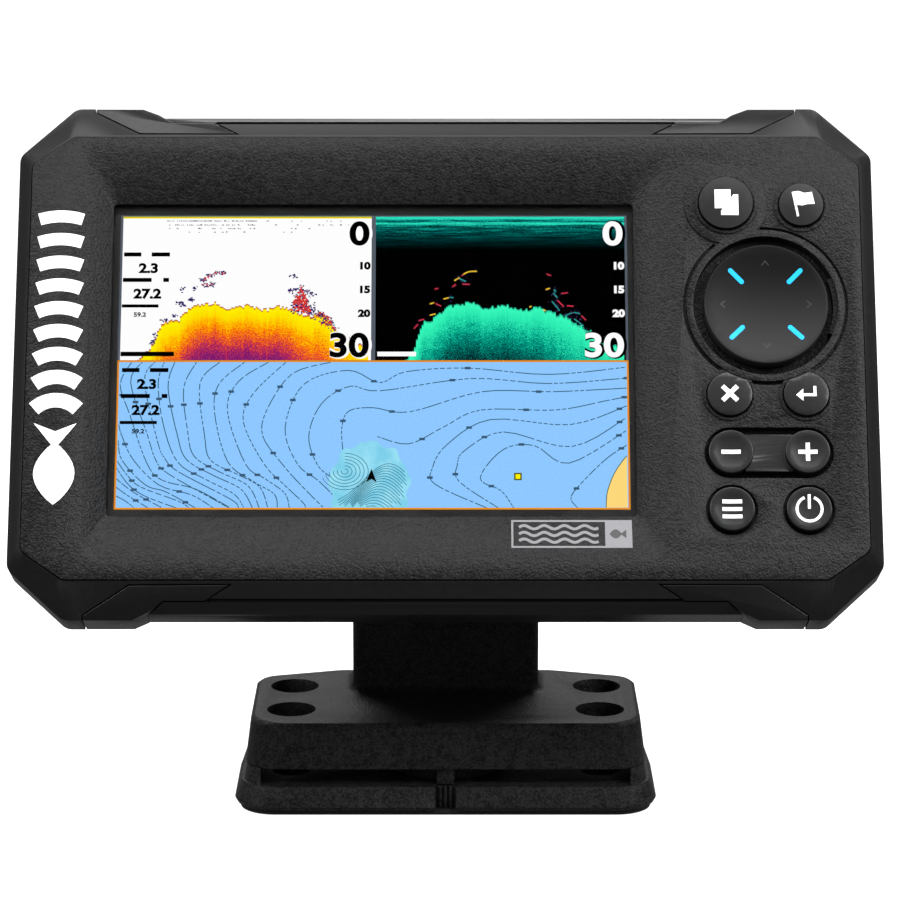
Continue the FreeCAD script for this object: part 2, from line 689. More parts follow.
def keypad_cuts():
    """Key holes, pockets and the groove round the direction pad."""
    front = AHEAD_Y + PAST
    through = KEYMAT_Y + PAST
    cuts = [key_hole(PAGES, PAGES_R + KEY_GAP),
            key_hole(WAYPOINT, KEY_R + KEY_GAP),
            key_hole(EXIT, KEY_R + KEY_GAP, True),
            key_hole(ENTER, KEY_R + KEY_GAP, True),
            key_hole(MENU, LOWER_POCKET_R),
            key_hole(POWER, LOWER_POCKET_R),
            disc(DPAD, DPAD_POCKET_R, front, DPAD_FLOOR_Y),
            disc(DPAD, DPAD_STEM_HOLE_R, front, through),
            zoom_stadium(ZOOM_POCKET_R, front, ZOOM_BACK_Y + ZOOM_RIB_R + RUNNING),
            disc((LEFT_KEY_X, ZOOM_Z), PLUNGER_HOLE_R, front, through),
            disc((RIGHT_KEY_X, ZOOM_Z), PLUNGER_HOLE_R, front, through)]
    for start, end in DPAD_GROOVE_ARCS:
        groove = ring(DPAD, DPAD_GROOVE_R, DPAD_RIM_R, -PAST, DPAD_GROOVE_DEPTH)
        wedge = sector(DPAD, DPAD_GROOVE_R + PAST, start, end, -2 * PAST, DPAD_GROOVE_DEPTH + PAST)
        cuts.append(groove.common(wedge))
    return cuts


def front_bezel():
    """Textured front plate with the display recess and the keypad openings."""
    bezel = bezel_body()
    for cut in display_cuts() + keypad_cuts():
        bezel = bezel.cut(cut)
    return bezel.fuse(thumb_crescent()).removeSplitter()


def thumb_crescent():
    """Thin raised crescent inside the right wall of the direction pad's pocket."""
    wall = disc(DPAD, DPAD_POCKET_R + 0.2, CRESCENT_Y, DPAD_FLOOR_Y + 0.2)
    hollow = disc((DPAD[0] - CRESCENT_SHIFT, DPAD[1]), DPAD_POCKET_R, -PAST, DPAD_FLOOR_Y + PAST)
    wedge = sector(DPAD, DPAD_POCKET_R + PAST, -CRESCENT_HALF_DEG, CRESCENT_HALF_DEG, 0, DPAD_FLOOR_Y + PAST)
    return wall.cut(hollow).common(wedge)


# ---- display ---------------------------------------------------------------------------
def window_outline():
    """Corner points of the window."""
    return rectangle(around(SCREEN_X, WINDOW_W / 2), both(WINDOW_H / 2))


def window_seal():
    """Adhesive frame between the bezel's lip and the window."""
    outer = prism(window_outline(), LIP_Y, LIP_Y + SEAL_T)
    return outer.cut(prism(rectangle(OPENING_X, both(OPENING_Z)), LIP_Y - PAST, LIP_Y + SEAL_T + PAST,
                           OPENING_CORNER_R))


def display_window():
    """Clear window over the display."""
    front = LIP_Y + SEAL_T
    return prism(window_outline(), front, front + WINDOW_T, OPENING_CORNER_R)


def lcd_front():
    """Depth of the display panel's face."""
    return LIP_Y + SEAL_T + WINDOW_T + FIT


def lcd_panel():
    """Five inch colour display with its backlight."""
    return block(around(SCREEN_X, LCD_W / 2), (lcd_front(), lcd_front() + LCD_T), both(LCD_H / 2))


def tray_back():
    """Depth of the back of the display's tray."""
    return lcd_front() + LCD_T + FIT + TRAY_T


def lcd_tray():
    """Pressed tray that holds the display against the frame's ledge."""
    back = tray_back()
    tray = block(TRAY_X, (LEDGE_Y, back), both(TRAY_Z))
    hollow = block((TRAY_X[0] + TRAY_T, TRAY_X[1] - TRAY_T), (LEDGE_Y - PAST, back - TRAY_T),
                   both(TRAY_Z - TRAY_T))
    return tray.cut(hollow)


def lcd_flex():
    """Flat cable from the display to the main board."""
    return block(around(SCREEN_X, LCD_FLEX_HALF_W), (tray_back(), BOARD_Y), LCD_FLEX_Z)


# ---- keypad pieces ---------------------------------------------------------------------
def crowned(place, radius, apex, sag, back):
    """Round pad with a domed (sag above 0) or dished (sag below 0) front."""
    edge = CROWN_EDGE_R if sag > 0 else DISH_EDGE_R
    pad = turned(place, [(0, apex), (radius, apex, edge), (radius, back), (0, back)])
    rim = radius if sag > 0 else radius - DISH_RIM_W
    ball_r = (rim ** 2 + sag ** 2) / (2 * abs(sag))
    if sag > 0:
        return pad.common(Part.makeSphere(ball_r, V(place[0], apex + ball_r, place[1])))
    return pad.cut(Part.makeSphere(ball_r, V(place[0], apex - sag - ball_r, place[1])))


def key_cap(place, radius, flange_r, apex, sag):
    """Round key: crowned or dished top, guided stem, retaining flange and plunger."""
    front = BEZEL_T + RUNNING
    back = front + FLANGE_T
    return fused([crowned(place, radius, apex, sag, back), disc(place, flange_r, front, back),
                  disc(place, PLUNGER_R, back, KEYMAT_Y - KEY_TRAVEL - RUNNING)])


def trimmed_key(place):
    """Exit or enter key, whose top follows the direction pad's rim."""
    key = key_cap(place, KEY_R, KEY_R + KEY_GAP + FLANGE_LAP, ACTION_APEX_Y, CROWN_SAG)
    return key.cut(disc(DPAD, ACTION_TRIM_R, AHEAD_Y, KEYMAT_Y))


def zoom_rocker():
    """Two round pads on one bridge, rocking on a rib along the middle."""
    places = [(x, ZOOM_Z) for x in (LEFT_KEY_X, RIGHT_KEY_X)]
    pads = [crowned(place, ZOOM_PAD_R, DISHED_APEX_Y, -DISH_SAG, ZOOM_BACK_Y) for place in places]
    pads += [disc(place, PLUNGER_R, ZOOM_BACK_Y, KEYMAT_Y - KEY_TRAVEL) for place in places]
    bridge = block((LEFT_KEY_X + ZOOM_BRIDGE_INSET, RIGHT_KEY_X - ZOOM_BRIDGE_INSET),
                   (ZOOM_BRIDGE_Y, ZOOM_BACK_Y), around(ZOOM_Z, ZOOM_BRIDGE_HALF_H))
    middle = (LEFT_KEY_X + RIGHT_KEY_X) / 2
    rib_half = ZOOM_BRIDGE_HALF_H - 1
    rib = Part.makeCylinder(ZOOM_RIB_R, 2 * rib_half, V(middle, ZOOM_BACK_Y, ZOOM_Z - rib_half))
    return fused(pads + [bridge, rib])


def dpad_body():
    """Direction pad with its light pipes' pockets still filled."""
    pad = crowned(DPAD, DPAD_R, DPAD_TOP_Y, DPAD_TOP_Y - DPAD_DISH_Y, DPAD_BACK_Y)
    return fused([pad, disc(DPAD, DPAD_STEM_R, DPAD_BACK_Y, DPAD_BALL_Y)])


def light_prism(angle_deg, grow):
    """Upright bar along one diagonal of the direction pad."""
    half = LIGHT_W / 2 + grow
    slot = prism(rectangle((LIGHT_R[0] - grow, LIGHT_R[1] + grow), both(half)), AHEAD_Y + PAST,
                 DPAD_DISH_Y + LIGHT_DEPTH + grow, half - LINE_FIT)
    slot.translate(V(DPAD[0], 0, DPAD[1]))
    slot.rotate(V(DPAD[0], 0, DPAD[1]), V(0, -1, 0), angle_deg)
    return slot


def dpad():
    """Dished direction pad on a ball stem."""
    pad = dpad_body()
    for quarter in range(4):
        pad = pad.cut(light_prism(45 + 90 * quarter, LIGHT_GAP))
    ball = Part.makeSphere(DPAD_BALL_R, V(DPAD[0], DPAD_BALL_Y, DPAD[1]))
    return fused([pad, ball])


def dpad_light_bars():
    """Four light pipes flush with the dish."""
    body = dpad_body()
    return Part.makeCompound([light_prism(45 + 90 * quarter, 0).common(body) for quarter in range(4)])


def dpad_actuator():
    """Rocking cradle that holds the direction pad's ball and turns in the key mat."""
    left, right = around(DPAD[0], ACTUATOR_HALF_L)
    drum = axle((DPAD_BALL_Y, DPAD[1]), ACTUATOR_R, left, right)
    flat = block((left - PAST, right + PAST), (0, DPAD_BALL_Y - ACTUATOR_FLAT), around(DPAD[1], DPAD_R))
    return drum.cut(flat).cut(Part.makeSphere(DPAD_BALL_R + RUNNING, V(DPAD[0], DPAD_BALL_Y, DPAD[1])))


def actuator_slot():
    """Room for the actuator in the key mat and key board."""
    return block(around(DPAD[0], ACTUATOR_HALF_L + RUNNING), (KEYMAT_Y - PAST, KEYBOARD_BACK_Y + PAST),
                 around(DPAD[1], ACTUATOR_R + RUNNING))


def keypad_mat():
    """Silicone mat under the keys."""
    mat = prism(rectangle(KEYMAT_X, both(KEYMAT_Z)), KEYMAT_Y, KEYMAT_Y + KEYMAT_T, KEYMAT_CORNER_R)
    for place in CASE_SCREWS:
        mat = mat.cut(disc(place, BOSS_R + 3 * FIT, KEYMAT_Y - PAST, KEYMAT_Y + KEYMAT_T + PAST))
    return mat.cut(actuator_slot())


def key_board():
    """Small board with the key contacts, seated on the frame's standoffs."""
    board = block((KEYMAT_X[0], RIM_HALF_W - FRAME_WALL - 1), (KEYMAT_Y + KEYMAT_T, KEYBOARD_BACK_Y),
                  both(KEYBOARD_Z))
    return board.cut(actuator_slot())


def key_flex():
    """Flat cable from the key board to the main board."""
    return block(KEY_FLEX_X, (KEYBOARD_BACK_Y, BOARD_Y), KEY_FLEX_Z)


# ---- electronics -----------------------------------------------------------------------
def board_back():
    """Depth of the main board's rear face."""
    return BOARD_Y + BOARD_T


def main_board():
    """Main circuit board."""
    board = prism(rectangle(both(BOARD_HALF_W), both(BOARD_HALF_H)), BOARD_Y, board_back(), BOARD_CORNER_R)
    for place in BOARD_SCREWS:
        board = board.cut(disc(place, SCREW_R + FIT, BOARD_Y - PAST, board_back() + PAST))
    return board


def board_chips():
    """Processor, memory and power parts on the main board."""
    back = board_back()
    return Part.makeCompound([block(around(x, w / 2), (back, back + t), around(z, h / 2))
                              for x, z, w, h, t in CHIPS])


def shield_can():
    """Pressed can over the sonar receiver."""
    back = board_back()
    can = block(CAN_X, (back, back + CAN_H), CAN_Z)
    return can.cut(block((CAN_X[0] + CAN_T, CAN_X[1] - CAN_T), (back - PAST, back + CAN_H - CAN_T),
                         (CAN_Z[0] + CAN_T, CAN_Z[1] - CAN_T)))


def gps_antenna():
    """Ceramic patch antenna near the top of the board."""
    return block(both(GPS_HALF_W), (board_back(), board_back() + GPS_T), GPS_Z)


def beeper():
    """Round sounder."""
    return disc(BEEPER, BEEPER_R, board_back(), board_back() + BEEPER_T)


def card_reader():
    """Memory card socket behind the slot in the door's pocket."""
    return block(around(sum(DOOR_X) / 2, READER_HALF_W), (board_back(), door_pocket_floor() - HOUSING_WALL),
                 around(CARD_Z, READER_HALF_H))


def screw(place, head_y, tip_y):
    """Pan-head screw driven from the back, with a cross recess."""
    head = disc(place, SCREW_HEAD_R, head_y, head_y + SCREW_HEAD_H)
    shank = disc(place, SCREW_R, tip_y, head_y)
    whole = fused([head, shank])
    top = head_y + SCREW_HEAD_H
    for width, height in ((CROSS_W, CROSS_T), (CROSS_T, CROSS_W)):
        whole = whole.cut(block(around(place[0], width / 2), (top - CROSS_DEPTH, top + PAST),
                                around(place[1], height / 2)))
    return whole


def board_screws():
    """Screws that hold the main board to the rear housing, driven from the front."""
    screws = []
    for place in BOARD_SCREWS:
        head = disc(place, SCREW_HEAD_R, BOARD_Y - SCREW_HEAD_H, BOARD_Y)
        screws.append(fused([head, disc(place, SCREW_R, BOARD_Y, board_back() + BOARD_SCREW_L)]))
    return Part.makeCompound(screws)


# ---- rear housing ----------------------------------------------------------------------
def housing_front():
    """Depth of the rear housing's front edge."""
    return FRAME_Y + HOUSING_SEAL_T


def housing_loft(inset, front, back):
    """Stepped body of the rear housing, shrunk inwards by inset."""
    def level(half_w, half_h, corner, y):
        points = octagon(half_w - inset, half_h - inset, half_w - corner - inset * 0.4,
                         half_h - corner - inset * 0.4)
        return outline(points, at_depth(y), HOUSING_FILLET)
    shoulder = level(SHOULDER_HALF_W, SHOULDER_HALF_H, HOUSING_CHAMFER, SHOULDER_Y - inset * 0.45)
    lower = loft([level(HOUSING_HALF_W, HOUSING_HALF_H, HOUSING_CHAMFER, front), shoulder])
    upper = loft([shoulder, level(BACK_HALF_W, BACK_HALF_H, BACK_CHAMFER, back)])
    return fused([lower, upper])


def door_pocket_floor():
    """Depth of the pocket floor under the card door."""
    return BACK_Y - DOOR_T - DOOR_POCKET_DEPTH


def door_axis():
    """(x, y) of the card door's hinge line."""
    return (DOOR_X[0] + DOOR_KNUCKLE_R, BACK_Y - DOOR_T + 0.4)


def door_pocket():
    """Recess that takes the card door and its knuckle."""
    x, y = door_axis()
    top = BACK_Y + PAST
    tall = (DOOR_Z[0] - DOOR_GAP, DOOR_Z[1] + DOOR_GAP)
    seat = block((x, DOOR_X[1] + DOOR_GAP), (BACK_Y - DOOR_T - DOOR_GAP, top), tall)
    knuckle = block((DOOR_X[0] - DOOR_GAP, x + 2), (y - DOOR_KNUCKLE_R - DOOR_GAP, top), tall)
    well = block((DOOR_X[0] + 6, DOOR_X[1] - 2), (door_pocket_floor(), top), (DOOR_Z[0] + 2, DOOR_Z[1] - 2))
    return fused([seat, knuckle, well])


def door_bore(radius, lap):
    """Cylinder on the card door's hinge line, longer than the door by lap at each end."""
    x, y = door_axis()
    return Part.makeCylinder(radius, DOOR_Z[1] - DOOR_Z[0] + 2 * lap, V(x, y, DOOR_Z[0] - lap))


def door_pin():
    """Steel pin of the card door."""
    return door_bore(DOOR_PIN_R, DOOR_PIN_LAP)


def card_door():
    """Hinged cover over the memory card slot, with a finger lip."""
    leaf = block((door_axis()[0], DOOR_X[1]), (BACK_Y - DOOR_T, BACK_Y), DOOR_Z)
    knuckle = door_bore(DOOR_KNUCKLE_R, 0)
    plug = block((DOOR_X[0] + 8, DOOR_X[1] - 4), (BACK_Y - DOOR_T - DOOR_PLUG_T, BACK_Y - DOOR_T + 0.2),
                 (DOOR_Z[0] + 4, DOOR_Z[1] - 4))
    lip = block((DOOR_X[1] - DOOR_LIP_T, DOOR_X[1]), (BACK_Y - 0.2, BACK_Y + DOOR_LIP_H),
                around(sum(DOOR_Z) / 2, DOOR_LIP_HALF_L))
    return fused([leaf, knuckle, plug, lip]).cut(door_bore(DOOR_PIN_R + RUNNING, PAST))


def housing_additions(outer):
    """Bosses, card pocket walls and cooling ribs of the rear housing."""
    additions = []
    for place in CASE_SCREWS:
        additions.append(disc(place, BOSS_R + 1.0, housing_front(), BACK_Y).common(outer))
    for place in BOARD_SCREWS:
        additions.append(disc(place, BOSS_R, board_back(), BACK_Y).common(outer))
    for place in dock_screw_places():
        additions.append(disc(place, BOSS_R - 0.5, BACK_Y - RAIL_SCREW_L - 1, BACK_Y - 1))
    additions.append(block((DOOR_X[0] - HOUSING_WALL, DOOR_X[1] + HOUSING_WALL),
                           (door_pocket_floor() - HOUSING_WALL, BACK_Y),
                           (DOOR_Z[0] - HOUSING_WALL - 1, DOOR_Z[1] + HOUSING_WALL + 1)).common(outer))
    for offset in (-2, -1, 0, 1, 2):
        for side in (1, -1):
            additions.append(cooling_rib(side, offset))
    return additions


def housing_cuts():
    """Pocket, holes and screw seats of the rear housing."""
    top = BACK_Y + PAST
    card = block(around(sum(DOOR_X) / 2, CARD_W / 2), (door_pocket_floor() - HOUSING_WALL - PAST, BACK_Y),
                 around(CARD_Z, CARD_SLOT_T / 2))
    cuts = [door_pocket(), door_pin(), card,
            disc(CONNECTOR, CONNECTOR_BODY_R + RUNNING, BACK_Y - HOUSING_WALL - PAST, top),
            disc(VENT, VENT_R + FIT, BACK_Y - VENT_DEPTH, top),
            disc(VENT, VENT_BORE_R, BACK_Y - HOUSING_WALL - PAST, top)]
    for place in CASE_SCREWS:
        cuts.append(disc(place, SCREW_R + 0.2, 0, top))
        cuts.append(disc(place, SCREW_HEAD_R + 0.5, case_screw_seat(), top))
    for place in BOARD_SCREWS:
        cuts.append(disc(place, SCREW_R, board_back() - PAST, board_back() + BOARD_SCREW_L + PAST))
    for place in dock_screw_places():
        cuts.append(disc(place, SCREW_R, BACK_Y - RAIL_SCREW_L - 0.5, top))
    return cuts


def rear_housing():
    """Moulded back of the head with bosses, card pocket and connector hole."""
    outer = housing_loft(0, housing_front(), BACK_Y)
    hollow = housing_loft(HOUSING_WALL, housing_front() - MERGE, BACK_Y - HOUSING_WALL)
    housing = outer.cut(hollow).fuse(housing_additions(outer))
    for cut in housing_cuts():
        housing = housing.cut(cut)
    return housing.removeSplitter()


def cooling_rib(side, offset):
    """Low upright rib on the upper or lower slope of the housing's back."""
    left, right = around(offset * RIB_PITCH, RIB_HALF_T)
    points = [(SHOULDER_Y - 3, SHOULDER_HALF_H - 3), (SHOULDER_Y + 1.5, SHOULDER_HALF_H - 1.8),
              (BACK_Y + 0.8, BACK_HALF_H - 1.0), (BACK_Y - 2, BACK_HALF_H - 4.0)]
    return bar([(y, side * z) for y, z in points], left, right)


def case_screw_seat():
    """Depth of the seat under the case screws' heads."""
    return SHOULDER_Y - 7.0


def case_screws():
    """Screws that draw the rear housing to the main frame."""
    return Part.makeCompound([screw(place, case_screw_seat(), LEDGE_Y + 2) for place in CASE_SCREWS])


def housing_seal():
    """Gasket between the main frame and the rear housing."""
    plates = []
    for inset in HOUSING_SEAL_W:
        half_w = HOUSING_HALF_W - inset
        half_h = HOUSING_HALF_H - inset
        points = octagon(half_w, half_h, half_w - HOUSING_CHAMFER, half_h - HOUSING_CHAMFER)
        plates.append(prism(points, FRAME_Y, FRAME_Y + HOUSING_SEAL_T, 2.0))
    return plates[0].cut(plates[1])


def vent_plug():
    """Breathable plug that keeps water out."""
    cap = disc(VENT, VENT_R, BACK_Y - VENT_DEPTH + RUNNING, BACK_Y + VENT_PROUD)
    for hole in round_about(VENT, VENT_HOLE_RING_R, 4, 45):
        cap = cap.cut(disc(hole, VENT_HOLE_R, BACK_Y - VENT_HOLE_DEPTH, BACK_Y + PAST))
    return cap


# ---- rear connector --------------------------------------------------------------------
def connector_barrel():
    """Threaded barrel that takes the combined power and sonar lead; its shoulder seats on the housing."""
    shell = fused([disc(CONNECTOR, CONNECTOR_R, BACK_Y, BACK_Y + CONNECTOR_L),
                   disc(CONNECTOR, CONNECTOR_BODY_R, BACK_Y - CONNECTOR_INNER_L, BACK_Y)])
    return shell.cut(disc(CONNECTOR, CONNECTOR_BORE_R, BACK_Y - CONNECTOR_INNER_L - PAST,
                          BACK_Y + CONNECTOR_L + PAST))


def contact_insert():
    """Moulded insert that fills the barrel and holds the contacts."""
    front = BACK_Y - CONNECTOR_INNER_L
    body = disc(CONNECTOR, CONNECTOR_BORE_R - RUNNING, front, BACK_Y + CONNECTOR_L - INSERT_SINK)
    top = CONNECTOR[1] + CONNECTOR_BORE_R
    body = body.cut(block(around(CONNECTOR[0], CONNECTOR_KEY_W / 2), (front - PAST, BACK_Y + CONNECTOR_L),
                          (top - CONNECTOR_KEY_H, top)))
    for place in contact_places():
        body = body.cut(disc(place, CONTACT_R, front - PAST, BACK_Y + CONNECTOR_L + PAST))
    return body


def contact_places():
    """One central contact and a ring of contacts."""
    return [CONNECTOR] + round_about(CONNECTOR, CONTACT_RING_R, CONTACT_COUNT)


def connector_pins():
    """Contacts of the rear connector."""
    front = BACK_Y - CONNECTOR_INNER_L - 2
    return Part.makeCompound([disc(place, CONTACT_R - THREAD_FIT, front, BACK_Y + CONNECTOR_L - FIT)
                              for place in contact_places()])


def connector_nut():
    """Ring nut that clamps the barrel inside the housing."""
    back = BACK_Y - HOUSING_WALL - RUNNING
    front = BACK_Y - HOUSING_WALL - CONNECTOR_NUT_T
    nut = prism(round_about(CONNECTOR, CONNECTOR_NUT_R, 6), front, back)
    return nut.cut(disc(CONNECTOR, CONNECTOR_BODY_R + THREAD_FIT, front - PAST, BACK_Y))


# ---- quick-release rail ----------------------------------------------------------------
def dock_screw_places():
    """Screws at the corners of the rail plate."""
    return [(x, z) for x in both(RAIL_SCREW_X) for z in (RAIL_Z[0] + 6, RAIL_STOP_Z - 4)]


def tongue_front():
    """Depth of the front of the cradle's tongue."""
    return BACK_Y + RAIL_FLOOR_T + TONGUE_GAP


def lip_front():
    """Depth of the inside of the rail's lips."""
    return tongue_front() + TONGUE_T + TONGUE_GAP


def dock_rail_plate():
    """Undercut rail on the back of the head, open at the bottom and stopped at the top."""
    back = lip_front() + LIP_T
    plate = prism(rectangle(both(RAIL_HALF_W), RAIL_Z), BACK_Y, back, RAIL_CORNER_R)
    run = (RAIL_Z[0] - PAST, RAIL_STOP_Z)
    channel = block(both(TONGUE_HALF_W + RAIL_SIDE_GAP), (BACK_Y + RAIL_FLOOR_T, lip_front()), run)
    mouth = block(both(NECK_HALF_W + RAIL_SIDE_GAP), (lip_front() - PAST, back + PAST), run)
    catch = block(both(LEVER_HALF_W - 2), (lip_front() - PAST, back + PAST),
                  (RAIL_STOP_Z - PAST, RAIL_Z[1] + PAST))
    plate = plate.cut(channel).cut(mouth).cut(catch)
    for place in dock_screw_places():
        plate = plate.cut(disc(place, SCREW_R + FIT, BACK_Y - PAST, back + PAST))
        plate = plate.cut(disc(place, RAIL_SCREW_HEAD_R, back - SCREW_HEAD_H, back + PAST))
    return plate


def dock_screws():
    """Flush screws of the rail plate."""
    back = lip_front() + LIP_T
    screws = []
    for place in dock_screw_places():
        head = disc(place, RAIL_SCREW_HEAD_R - RUNNING, back - SCREW_HEAD_H, back - 0.2)
        shank = disc(place, SCREW_R, BACK_Y - RAIL_SCREW_L, back - SCREW_HEAD_H)
        socket = block(around(place[0], RAIL_SLOT_W / 2), (back - CROSS_DEPTH, back),
                       around(place[1], CROSS_T / 2))
        screws.append(fused([head, shank]).cut(socket))
    return Part.makeCompound(screws)


# ---- cradle ----------------------------------------------------------------------------
def cradle_front():
    """Depth of the front of the cradle's back plate."""
    return lip_front() + LIP_T + TONGUE_GAP


def lever_axis():
    """(y, z) of the release lever's pin."""
    return (cradle_front() + CRADLE_T + LEVER_HUB_R + TONGUE_GAP, LEVER_PIN_Z)


def pivot():
    """(y, z) of the tilt axis in the head's frame."""
    return (PIVOT_DEPTH, -PIVOT_DROP)


def ear_end():
    """Distance of the ears' outer faces from the middle."""
    return BARREL_HALF_W + EAR_GAP + EAR_T


def ear(side):
    """One ear of the cradle on the tilt axis."""
    left, right = sorted((side * (BARREL_HALF_W + EAR_GAP), side * ear_end()))
    front = cradle_front()
    back = front + CRADLE_T
    y, z = pivot()
    web = bar([(front, CRADLE_Z[0]), (back + 1, CRADLE_Z[0]), (y, z - EAR_R), (y + EAR_NOSE, z),
               (y, z + EAR_R), (back + 1, CRADLE_Z[1]), (front, CRADLE_Z[1])], left, right)
    return [web, axle(pivot(), EAR_R, left, right)]


def lever_ear(side):
    """One ear of the cradle beside the release lever."""
    inner = LEVER_HALF_W + SLIDE_GAP
    back = cradle_front() + CRADLE_T
    x = sorted((side * inner, side * (inner + LEVER_EAR_T)))
    return block(x, (back - 1, lever_axis()[0] + LEVER_HUB_R),
                 (LEVER_PIN_Z + LEVER_EAR_Z[0], LEVER_PIN_Z + LEVER_EAR_Z[1]))


def cradle():
    """Tongue that the head slides onto, with two ears on the tilt axis."""
    front = cradle_front()
    back = front + CRADLE_T
    top = RAIL_STOP_Z - TONGUE_GAP
    tongue_back = tongue_front() + TONGUE_T
    tongue = prism([(-TONGUE_HALF_W, TONGUE_Z, TONGUE_CORNER_R), (TONGUE_HALF_W, TONGUE_Z, TONGUE_CORNER_R),
                    (TONGUE_HALF_W, top, TONGUE_CORNER_R / 2), (-TONGUE_HALF_W, top, TONGUE_CORNER_R / 2)],
                   tongue_front(), tongue_back)
    neck = block(both(NECK_HALF_W), (tongue_back - MERGE, front + MERGE), (TONGUE_Z + 1, top - 1))
    plate = prism(rectangle(both(ear_end()), CRADLE_Z), front, back, CRADLE_CORNER_R)
    bracket = block(both(LEVER_HALF_W + SLIDE_GAP + LEVER_EAR_T), (front, back),
                    (CRADLE_Z[1] - 2, LEVER_PIN_Z + LEVER_EAR_Z[1]))
    pieces = [tongue, neck, plate, bracket]
    for side in (1, -1):
        pieces += ear(side)
        pieces.append(lever_ear(side))
    body = fused(pieces)
    room = BARREL_HALF_W + FIT
    body = body.cut(axle(pivot(), BARREL_R + BARREL_ROOM, -room, room))
    body = body.cut(axle(pivot(), TILT_BOLT_R + RUNNING, -AWAY, AWAY))
    pin_half = LEVER_HALF_W + LEVER_PIN_LAP
    return body.cut(axle(lever_axis(), LEVER_PIN_R, -pin_half, pin_half)).removeSplitter()


def lever_pin():
    """Pin of the release lever."""
    half = LEVER_HALF_W + LEVER_PIN_LAP - FIT
    return axle(lever_axis(), LEVER_PIN_R - LINE_FIT, -half, half)


def lever_spring():
    """Coiled part of the lever's return spring, round the pin."""
    coil = axle(lever_axis(), SPRING_R, -SPRING_HALF_L, SPRING_HALF_L)
    return coil.cut(axle(lever_axis(), LEVER_PIN_R + FIT, -SPRING_HALF_L - PAST, SPRING_HALF_L + PAST))


def release_lever():
    """Thumb lever behind the head, with a tooth that reaches into the rail's catch."""
    y, z = lever_axis()
    front = y - LEVER_T / 2
    back = y + LEVER_T / 2
    bend = LEVER_TOP_Z - 4
    arm = bar([(front, z, 0), (back, z, 0), (back, bend, 2), (back + THUMB_REACH, LEVER_TOP_Z, THUMB_T),
               (back + THUMB_T, LEVER_TOP_Z + THUMB_T, THUMB_T), (front, bend, 2)],
              -LEVER_HALF_W, LEVER_HALF_W)
    hub = axle((y, z), LEVER_HUB_R, -LEVER_HALF_W, LEVER_HALF_W)
    tooth = block(both(LEVER_HALF_W - 3), (lip_front() + MERGE, y), TOOTH_Z)
    lever = fused([arm, hub, tooth])
    lever = lever.cut(axle((y, z), LEVER_PIN_R + RUNNING, -LEVER_HALF_W - PAST, LEVER_HALF_W + PAST))
    spring_half = SPRING_HALF_L + SPRING_ROOM
    return lever.cut(axle((y, z), LEVER_HUB_R + SPRING_ROOM, -spring_half, spring_half))


def tilt_bolt():
    """Bolt through the ears and the column's barrel."""
    left = -ear_end()
    shank = axle(pivot(), TILT_BOLT_R, left, ear_end() + BOLT_END)
    head = axle(pivot(), BOLT_HEAD_R, left - BOLT_HEAD_H, left)
    socket = axle(pivot(), BOLT_SOCKET_R, left - BOLT_HEAD_H - PAST, left - BOLT_HEAD_H + BOLT_SOCKET_DEPTH)
    return fused([head, shank]).cut(socket)


def tilt_nut():
    """Locking nut on the tilt bolt."""
    start = ear_end()
    nut = bar(round_about(pivot(), NUT_R, 6, 30), start, start + NUT_T)
    return nut.cut(axle(pivot(), TILT_BOLT_R + THREAD_FIT, start - PAST, start + NUT_T + PAST))


def friction_washers():
    """Washers between the barrel's ends and the ears."""
    washers = []
    for side in (1, -1):
        start = side * (BARREL_HALF_W + RUNNING)
        left, right = sorted((start, start + side * WASHER_T))
        washer = axle(pivot(), BARREL_R - 0.5, left, right)
        washers.append(washer.cut(axle(pivot(), TILT_BOLT_R + RUNNING, left - PAST, right + PAST)))
    return Part.makeCompound(washers)


# ---- base ------------------------------------------------------------------------------
def footprint(grow, z):
    """Outline of the base plate at one height."""
    points = rectangle(both(BASE_HALF_W + grow), (BASE_FRONT_Y - grow, BASE_REAR_Y + grow))
    return outline(points, at_height(z), BASE_CORNER_R + grow)


def screw_holes():
    """Places of the four fixing screws."""
    return [(x, y) for x in both(SCREW_HOLE_X) for y in (SCREW_HOLE_FRONT_Y, SCREW_HOLE_REAR_Y)]


def foot_pad():
    """Thin rubber pad under the base."""
    pad = Part.Face(footprint(-FOOT_INSET, 0)).extrude(V(0, 0, FOOT_T))
    for place in screw_holes():
        pad = pad.cut(post(place, SCREW_HOLE_R + 0.6, -PAST, FOOT_T + PAST))
    return pad


def corner_pads():
    """Low pads at the base's corners that close the gap under the deck."""
    pads = loft([footprint(-BASE_DRAFT - 0.5, BASE_TOP_Z - MERGE),
                 footprint(-BASE_DRAFT - 1.2, DECK_Z - SLIDE_GAP)])
    pads = pads.cut(block(both(PAD_X), both(AWAY), (0, DECK_TOP_Z)))
    return pads.cut(block(both(AWAY), (PAD_FRONT_Y, PAD_REAR_Y), (0, DECK_TOP_Z)))


def notch_ribs():
    """Fine upright ribs in the notch at the middle of the front."""
    front = BASE_FRONT_Y + BASE_DRAFT + NOTCH_DEPTH - NOTCH_RIB_REACH
    return [block(around(step * NOTCH_RIB_PITCH, NOTCH_RIB_T / 2), (front, BASE_FRONT_Y + 6),
                  (FOOT_T, BASE_TOP_Z)) for step in (-1, 0, 1)]


